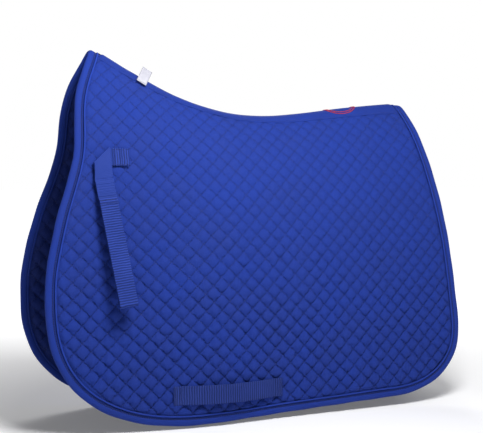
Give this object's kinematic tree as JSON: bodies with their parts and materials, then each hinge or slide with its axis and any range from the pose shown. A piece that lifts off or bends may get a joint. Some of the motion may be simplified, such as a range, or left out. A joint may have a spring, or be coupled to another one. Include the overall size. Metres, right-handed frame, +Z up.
{
  "type": "saddle pad",
  "caption": "Quilted cotton saddle pad: two padded flaps on a shaped spine, bound and piped edges, girth keepers and hook-and-loop billet straps.",
  "frame": {"origin": "on the underside of the pad at the lowest point of its spine, in the middle plane", "axes": "+X to the rear of the horse, -X to the withers, -Y to the near (left) side, +Z up"},
  "size_m": [0.6198, 0.2224, 0.499],
  "materials": {
    "cotton_cover": "quilted woven cotton, soft sheen",
    "wadding": "soft polyester wadding",
    "cotton_lining": "quilted woven cotton",
    "spine_cotton": "plain woven cotton",
    "binding_tape": "woven cotton tape",
    "piping_cord": "cotton-covered cord",
    "webbing": "ribbed woven webbing",
    "hook_and_loop": "hook and loop pile",
    "sewing_thread": "polyester thread",
    "label_satin": "white satin ribbon",
    "emblem_thread": "red embroidery thread"
  },
  "bodies": {
    "spine_part": {"near_cover_upper": "cotton_cover", "near_wadding_upper": "wadding", "near_lining_upper": "cotton_lining", "off_cover_upper": "cotton_cover", "off_wadding_upper": "wadding", "off_lining_upper": "cotton_lining", "spine_tape": "spine_cotton", "spine_underlay": "cotton_lining", "spine_emblem": "emblem_thread", "front_binding_arch": "binding_tape", "rear_binding_arch": "binding_tape", "front_piping_arch": "piping_cord", "rear_piping_arch": "piping_cord"},
    "label_body": {"care_label": "label_satin"},
    "near_flap": {"near_cover": "cotton_cover", "near_wadding": "wadding", "near_lining": "cotton_lining", "near_binding": "binding_tape", "near_piping": "piping_cord", "near_girth_keeper": "webbing", "near_keeper_stitching": "sewing_thread", "near_billet_anchor": "webbing", "near_anchor_stitching": "sewing_thread"},
    "near_strap_turn_body": {"near_strap_turn": "webbing"},
    "near_strap_body": {"near_strap_run": "webbing", "near_loop_tape": "hook_and_loop"},
    "near_tab_body": {"near_strap_tab": "webbing", "near_hook_tape": "hook_and_loop"},
    "off_flap": {"off_cover": "cotton_cover", "off_wadding": "wadding", "off_lining": "cotton_lining", "off_binding": "binding_tape", "off_piping": "piping_cord", "off_girth_keeper": "webbing", "off_keeper_stitching": "sewing_thread", "off_billet_anchor": "webbing", "off_anchor_stitching": "sewing_thread"},
    "off_strap_turn_body": {"off_strap_turn": "webbing"},
    "off_strap_body": {"off_strap_run": "webbing", "off_loop_tape": "hook_and_loop"},
    "off_tab_body": {"off_strap_tab": "webbing", "off_hook_tape": "hook_and_loop"}
  },
  "joints": [
    {"name": "near_flap_fold", "type": "hinge", "parent": "spine_part", "child": "near_flap", "pos_m": [-0.29, -0.051, -0.024], "axis": [-0.9976, 0.012, 0.0683], "range_deg": [-10, 60]},
    {"name": "off_flap_fold", "type": "hinge", "parent": "spine_part", "child": "off_flap", "pos_m": [-0.29, 0.051, -0.024], "axis": [0.9976, 0.012, -0.0683], "range_deg": [-10, 60]},
    {"name": "near_strap_swing", "type": "hinge", "parent": "near_flap", "child": "near_strap_turn_body", "pos_m": [-0.242, -0.05444, -0.051], "axis": [0, -0.9703, 0.2419], "range_deg": [-20, 20]},
    {"name": "off_strap_swing", "type": "hinge", "parent": "off_flap", "child": "off_strap_turn_body", "pos_m": [-0.242, 0.05444, -0.051], "axis": [0, -0.9703, -0.2419], "range_deg": [-20, 20]},
    {"name": "near_strap_lift", "type": "hinge", "parent": "near_strap_turn_body", "child": "near_strap_body", "pos_m": [-0.2545, -0.06499, -0.0797], "axis": [-0.9925, -0.0295, -0.1182], "range_deg": [0, 95]},
    {"name": "off_strap_lift", "type": "hinge", "parent": "off_strap_turn_body", "child": "off_strap_body", "pos_m": [-0.2545, 0.06499, -0.0797], "axis": [0.9925, -0.0295, 0.1182], "range_deg": [0, 95]},
    {"name": "near_tab_open", "type": "hinge", "parent": "near_strap_body", "child": "near_tab_body", "pos_m": [-0.2339, -0.10776, -0.24191], "axis": [0.9925, 0.0295, 0.1182], "range_deg": [0, 165]},
    {"name": "off_tab_open", "type": "hinge", "parent": "off_strap_body", "child": "off_tab_body", "pos_m": [-0.2339, 0.10776, -0.24191], "axis": [-0.9925, 0.0295, -0.1182], "range_deg": [0, 165]},
    {"name": "label_flip", "type": "hinge", "parent": "spine_part", "child": "label_body", "pos_m": [-0.1875, -0.01671, 0.05075], "axis": [0.866, 0, -0.5], "range_deg": [-8, 110]}
  ]
}
